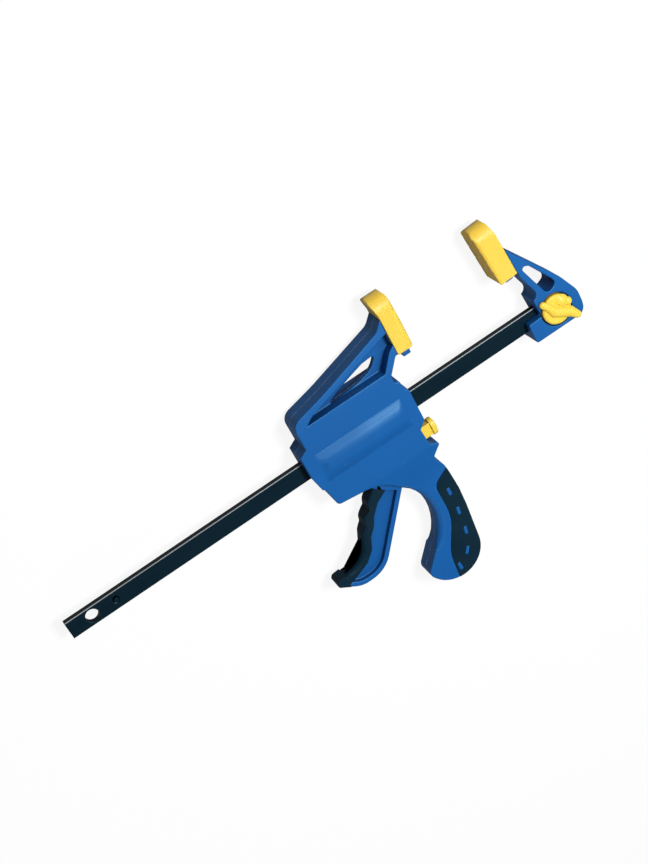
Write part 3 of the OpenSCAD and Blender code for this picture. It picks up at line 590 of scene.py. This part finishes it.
# coil springs and screws, from geometry trees

def newTree(name, inputs):
    tree = bpy.data.node_groups.new(name, "GeometryNodeTree")
    tree.interface.new_socket("Geometry", in_out="INPUT", socket_type="NodeSocketGeometry")
    for label, kind in inputs.items():
        tree.interface.new_socket(label, in_out="INPUT", socket_type="NodeSocket" + kind)
    tree.interface.new_socket("Geometry", in_out="OUTPUT", socket_type="NodeSocketGeometry")
    return tree, addNode(tree, "NodeGroupInput").outputs, addNode(tree, "NodeGroupOutput").inputs


def closeTree(tree, geometry, material, result):
    solid = addNode(tree, "GeometryNodeRealizeInstances")
    link(tree, geometry, solid.inputs[0])
    paint = addNode(tree, "GeometryNodeSetMaterial")
    link(tree, solid.outputs[0], paint.inputs["Geometry"])
    link(tree, material, paint.inputs["Material"])
    link(tree, paint.outputs[0], result[0])


def runTree(piece, tree, values):
    modifier = piece.modifiers.new(tree.name, "NODES")
    modifier.node_group = tree
    for item in tree.interface.items_tree:
        if item.in_out == "INPUT" and item.name in values:
            modifier[item.identifier] = values[item.name]
    applyModifiers(piece)


coil = {
    "evenShare": 0.45,       # part of the length that all turns share alike
    "wireSides": 10,
}


def springTree():
    # wire that winds round the x axis, with its end turns closed up
    tree, given, result = newTree("coilSpring", {
        "Length": "Float", "Radius": "Float", "Wire": "Float", "Turns": "Float", "Closed Share": "Float",
        "Steps": "Int", "Material": "Material",
    })
    line = addNode(tree, "GeometryNodeCurvePrimitiveLine")
    cut = addNode(tree, "GeometryNodeResampleCurve")
    link(tree, line.outputs[0], cut.inputs["Curve"])
    link(tree, given["Steps"], cut.inputs["Count"])
    share = addNode(tree, "GeometryNodeSplineParameter").outputs["Factor"]
    angle = arithmetic(tree, "MULTIPLY", share, arithmetic(tree, "MULTIPLY", given["Turns"], 2 * math.pi))
    travel = addNode(tree, "ShaderNodeMapRange", interpolation_type="SMOOTHSTEP")
    link(tree, share, travel.inputs["Value"])
    link(tree, given["Closed Share"], travel.inputs["From Min"])
    link(tree, arithmetic(tree, "SUBTRACT", 1.0, given["Closed Share"]), travel.inputs["From Max"])
    even = arithmetic(tree, "MULTIPLY", share, coil["evenShare"])
    opened = arithmetic(tree, "MULTIPLY", travel.outputs["Result"], 1.0 - coil["evenShare"])
    along = arithmetic(tree, "ADD", even, opened)
    place = addNode(tree, "ShaderNodeCombineXYZ")
    link(tree, arithmetic(tree, "MULTIPLY", along, given["Length"]), place.inputs["X"])
    for wave, axis in (("COSINE", "Y"), ("SINE", "Z")):
        reach = arithmetic(tree, "MULTIPLY", arithmetic(tree, wave, angle), given["Radius"])
        link(tree, reach, place.inputs[axis])
    wind = addNode(tree, "GeometryNodeSetPosition")
    link(tree, cut.outputs[0], wind.inputs["Geometry"])
    link(tree, place.outputs[0], wind.inputs["Position"])
    ring = addNode(tree, "GeometryNodeCurvePrimitiveCircle")
    ring.inputs["Resolution"].default_value = coil["wireSides"]
    link(tree, arithmetic(tree, "MULTIPLY", given["Wire"], 0.5), ring.inputs["Radius"])
    tube = addNode(tree, "GeometryNodeCurveToMesh")
    tube.inputs["Fill Caps"].default_value = True
    link(tree, wind.outputs[0], tube.inputs["Curve"])
    link(tree, ring.outputs[0], tube.inputs["Profile Curve"])
    closeTree(tree, tube.outputs[0], given["Material"], result)
    return tree


springs = {                  # node: piece, turns
    "drive_spring": ("driveSpring", 7.0),
    "brake_spring": ("brakeSpring", 4.0),
}
springWire = {
    "diameter": 1.8 * mm,
    "closedShare": 0.12,     # part of each end where the turns lie together
    "stepsPerTurn": 26,
    "smoothBelow": 50,
}

coilTree = springTree()
for node, (pieceName, turns) in springs.items():
    low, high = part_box(node)
    low, high = Vector(low), Vector(high)
    piece = bpy.data.objects.new(pieceName, bpy.data.meshes.new(pieceName))
    bpy.context.scene.collection.objects.link(piece)
    runTree(piece, coilTree, {
        "Length": high.x - low.x - springWire["diameter"],
        "Radius": (high.y - low.y - springWire["diameter"]) / 2,
        "Wire": springWire["diameter"],
        "Turns": turns,
        "Closed Share": springWire["closedShare"],
        "Steps": int(turns * springWire["stepsPerTurn"]),
        "Material": finishes["zinc"],
    })
    middle = (low + high) / 2
    piece.data.transform(Matrix.Translation((low.x + springWire["diameter"] / 2, middle.y, middle.z)))
    shadeByAngle(piece, springWire["smoothBelow"])
    dress(piece, "zinc", "moving_side", node)
    print("made", pieceName, len(piece.data.polygons), "faces")


screwSizes = {
    "headRadius": 3.0 * mm,
    "headHeight": 2.2 * mm,
    "shankRadius": 1.5 * mm,
    "slot": 0.96 * mm,
    "slotLength": 1.2,       # times the head's radius
    "crown": 0.82,           # the head is flatter than a ball
    "headSides": 36,
    "headRings": 18,
    "shankSides": 24,
    "smoothBelow": 35,
}


def screwTree():
    # each point of the host carries one pan head screw: crowned head, cross recess, shank
    tree, given, result = newTree("panScrews", {
        "Head Radius": "Float", "Head Height": "Float", "Shank Radius": "Float", "Slot": "Float",
        "Material": "Material",
    })
    head = addNode(tree, "GeometryNodeMeshUVSphere")
    head.inputs["Segments"].default_value = screwSizes["headSides"]
    head.inputs["Rings"].default_value = screwSizes["headRings"]
    link(tree, given["Head Radius"], head.inputs["Radius"])
    corner = addNode(tree, "GeometryNodeInputPosition")
    parts = addNode(tree, "ShaderNodeSeparateXYZ")
    link(tree, corner.outputs[0], parts.inputs[0])
    flat = arithmetic(tree, "MULTIPLY", given["Head Height"], -1.0)
    squashed = arithmetic(tree, "MULTIPLY", parts.outputs["Z"], screwSizes["crown"])
    up = arithmetic(tree, "MINIMUM", arithmetic(tree, "MAXIMUM", squashed, flat), 0.0)
    place = addNode(tree, "ShaderNodeCombineXYZ")
    link(tree, parts.outputs["X"], place.inputs["X"])
    link(tree, parts.outputs["Y"], place.inputs["Y"])
    link(tree, up, place.inputs["Z"])
    cap = addNode(tree, "GeometryNodeSetPosition")
    link(tree, head.outputs["Mesh"], cap.inputs["Geometry"])
    link(tree, place.outputs[0], cap.inputs["Position"])

    recess = addNode(tree, "GeometryNodeMeshBoolean", operation="DIFFERENCE")
    link(tree, cap.outputs[0], recess.inputs["Mesh 1"])
    for turned in (False, True):
        size = addNode(tree, "ShaderNodeCombineXYZ")
        long = arithmetic(tree, "MULTIPLY", given["Head Radius"], screwSizes["slotLength"])
        thin = given["Slot"]
        link(tree, thin if turned else long, size.inputs["X"])
        link(tree, long if turned else thin, size.inputs["Y"])
        link(tree, given["Head Height"], size.inputs["Z"])
        cutter = addNode(tree, "GeometryNodeMeshCube")
        link(tree, size.outputs[0], cutter.inputs["Size"])
        lower = addNode(tree, "GeometryNodeTransform")
        link(tree, cutter.outputs["Mesh"], lower.inputs["Geometry"])
        shift = addNode(tree, "ShaderNodeCombineXYZ")
        link(tree, flat, shift.inputs["Z"])
        link(tree, shift.outputs[0], lower.inputs["Translation"])
        link(tree, lower.outputs[0], recess.inputs["Mesh 2"])

    shank = addNode(tree, "GeometryNodeMeshCylinder")
    shank.inputs["Vertices"].default_value = screwSizes["shankSides"]
    shank.inputs["Depth"].default_value = 1.0
    link(tree, given["Shank Radius"], shank.inputs["Radius"])
    lift = addNode(tree, "GeometryNodeTransform")
    link(tree, shank.outputs["Mesh"], lift.inputs["Geometry"])
    lift.inputs["Translation"].default_value = (0, 0, 0.5)

    length = addNode(tree, "GeometryNodeInputNamedAttribute", data_type="FLOAT")
    length.inputs["Name"].default_value = "shankLength"
    tall = addNode(tree, "ShaderNodeCombineXYZ")
    tall.inputs["X"].default_value = 1.0
    tall.inputs["Y"].default_value = 1.0
    link(tree, length.outputs["Attribute"], tall.inputs["Z"])
    both = addNode(tree, "GeometryNodeJoinGeometry")
    for shape, stretch in ((recess.outputs["Mesh"], None), (lift.outputs[0], tall.outputs[0])):
        spot = addNode(tree, "GeometryNodeInstanceOnPoints")
        link(tree, given["Geometry"], spot.inputs["Points"])
        link(tree, shape, spot.inputs["Instance"])
        if stretch is not None:
            link(tree, stretch, spot.inputs["Scale"])
        link(tree, spot.outputs[0], both.inputs[0])
    closeTree(tree, both.outputs[0], given["Material"], result)
    return tree


def looseParts(mesh):
    # corners of each separate shape in a mesh
    work = bmesh.new()
    work.from_mesh(mesh)
    bmesh.ops.remove_doubles(work, verts=work.verts, dist=cleaning["merge"])
    left, groups = dict.fromkeys(work.verts), []     # keeps its order from run to run
    while left:
        first = next(iter(left))
        del left[first]
        group, ahead = [], [first]
        while ahead:
            vertex = ahead.pop()
            group.append(vertex.co.copy())
            for edge in vertex.link_edges:
                other = edge.other_vert(vertex)
                if other in left:
                    del left[other]
                    ahead.append(other)
        groups.append(group)
    work.free()
    return groups


def makeScrews():
    spots, lengths = [], []
    for group in looseParts(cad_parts["housing_screws"].data):
        xs, ys, zs = ([corner[axis] for corner in group] for axis in range(3))
        seat = min(zs) + screwSizes["headHeight"]
        spots.append(((min(xs) + max(xs)) / 2, (min(ys) + max(ys)) / 2, seat))
        lengths.append(max(zs) - seat)
    mesh = bpy.data.meshes.new("housingScrews")
    mesh.from_pydata(spots, [], [])
    kept = mesh.attributes.new("shankLength", "FLOAT", "POINT")
    kept.data.foreach_set("value", lengths)
    piece = bpy.data.objects.new("housingScrews", mesh)
    bpy.context.scene.collection.objects.link(piece)
    runTree(piece, screwTree(), {
        "Head Radius": screwSizes["headRadius"],
        "Head Height": screwSizes["headHeight"],
        "Shank Radius": screwSizes["shankRadius"],
        "Slot": screwSizes["slot"],
        "Material": finishes["zinc"],
    })
    shadeByAngle(piece, screwSizes["smoothBelow"])
    dress(piece, "zinc", "moving_side", "housing_screws")
    print("made housingScrews", len(spots), "screws", len(piece.data.polygons), "faces")


makeScrews()

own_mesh(bpy.data.objects["driveSpring"])

for node, finish in {
    "stop_pin": "barBlack",
    "knob_washer": "zinc",
    "knob_screw": "zinc",
    "trigger_pin": "zinc",
    "drive_plate_1": "hardened",
    "drive_plate_2": "hardened",
    "drive_plate_3": "hardened",
    "brake_plate": "hardened",
}.items():
    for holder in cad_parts[node].material_slots:
        holder.material = finishes[finish]
print("frame pieces finished")


# floor, light and camera

stage = {
    "floorSize": 6.0,
    "floorDepth": -0.3 * mm, # just under the part, so that the two never share a plane
    "floorSeen": (0.97, 0.97, 0.97),
    "floorBounce": (0.24, 0.24, 0.24),
    "floorGlow": 0.90,       # share of plain white on the floor
    "glossGlow": 0.16,       # the same, in what shiny surfaces show
    "worldStrength": 0.14,
    "keyPlace": (0.62, 0.50, 1.75),
    "keyWatts": 38.0,
    "keySize": 0.55,
    "fillPlace": (-1.25, -1.15, 0.70),
    "fillWatts": 4.4,
    "fillSize": 0.9,
}


def whiteShare(tree, most):
    # how much of the plain white background a ray sees
    paths = addNode(tree, "ShaderNodeLightPath")
    gloss = arithmetic(tree, "MULTIPLY", paths.outputs["Is Glossy Ray"], stage["glossGlow"])
    straight = arithmetic(tree, "ADD", paths.outputs["Is Camera Ray"], paths.outputs["Is Transmission Ray"])
    either = arithmetic(tree, "ADD", straight, gloss)
    either.node.use_clamp = True
    return arithmetic(tree, "MULTIPLY", either, most), paths.outputs["Is Camera Ray"]


def makeFloor():
    half = stage["floorSize"] / 2
    mesh = bpy.data.meshes.new("floor")
    depth = stage["floorDepth"]
    corners = [(-half, -half, depth), (half, -half, depth), (half, half, depth), (-half, half, depth)]
    mesh.from_pydata(corners, [], [(0, 1, 2, 3)])
    floor = bpy.data.objects.new("floor", mesh)
    bpy.context.scene.collection.objects.link(floor)
    material, tree = newMaterial("paleFloor")
    share, seen = whiteShare(tree, stage["floorGlow"])
    paint = addNode(tree, "ShaderNodeBsdfDiffuse")
    link(tree, mixColours(tree, seen, stage["floorBounce"], stage["floorSeen"]), paint.inputs["Color"])
    glow = addNode(tree, "ShaderNodeEmission")
    glow.inputs["Color"].default_value = (1, 1, 1, 1)
    mix = addNode(tree, "ShaderNodeMixShader")
    link(tree, share, mix.inputs[0])
    link(tree, paint.outputs[0], mix.inputs[1])
    link(tree, glow.outputs[0], mix.inputs[2])
    out = addNode(tree, "ShaderNodeOutputMaterial")
    link(tree, mix.outputs[0], out.inputs["Surface"])
    mesh.materials.append(material)


def makeWorld():
    world = bpy.data.worlds.new("softRoom")
    bpy.context.scene.world = world
    world.use_nodes = True
    tree = world.node_tree
    tree.nodes.clear()
    seen = addNode(tree, "ShaderNodeBackground")
    seen.inputs["Color"].default_value = (1, 1, 1, 1)
    room = addNode(tree, "ShaderNodeBackground")
    room.inputs["Strength"].default_value = stage["worldStrength"]
    mix = addNode(tree, "ShaderNodeMixShader")
    link(tree, whiteShare(tree, 1.0)[0], mix.inputs[0])
    link(tree, room.outputs[0], mix.inputs[1])
    link(tree, seen.outputs[0], mix.inputs[2])
    out = addNode(tree, "ShaderNodeOutputWorld")
    link(tree, mix.outputs[0], out.inputs["Surface"])


def makeLamp(name, place, aim, size, watts):
    data = bpy.data.lights.new(name, "AREA")
    data.shape = "DISK"
    data.size = size
    data.energy = watts
    lamp = bpy.data.objects.new(name, data)
    lamp.location = place
    lamp.rotation_mode = "QUATERNION"
    lamp.rotation_quaternion = (Vector(aim) - Vector(place)).to_track_quat("-Z", "Y")
    bpy.context.scene.collection.objects.link(lamp)


def makeCamera():
    view = {
        "place": (-0.1874, 0.823769, 1.3646),
        "right": (0.8234, -0.4333, 0.3664),
        "up": (0.5532, 0.7566, -0.3486),
        "lens": 70.83,
        "sensor": 36,
        "farthest": 20,      # metres that the camera sees
    }
    data = bpy.data.cameras.new("camera")
    data.lens = view["lens"]
    data.sensor_width = view["sensor"]
    data.clip_end = view["farthest"]
    camera = bpy.data.objects.new("camera", data)
    right = Vector(view["right"]).normalized()
    back = right.cross(Vector(view["up"])).normalized()
    turn = Matrix((right, back.cross(right), back)).transposed()
    camera.matrix_world = Matrix.Translation(view["place"]) @ turn.to_4x4()
    bpy.context.scene.collection.objects.link(camera)
    bpy.context.scene.camera = camera


makeFloor()
makeWorld()
makeLamp("key", stage["keyPlace"], (0, 0, 0), stage["keySize"], stage["keyWatts"])
makeLamp("fill", stage["fillPlace"], (0, 0, 0), stage["fillSize"], stage["fillWatts"])
makeCamera()
bpy.context.scene.view_settings.view_transform = "Standard"
print("stage set")
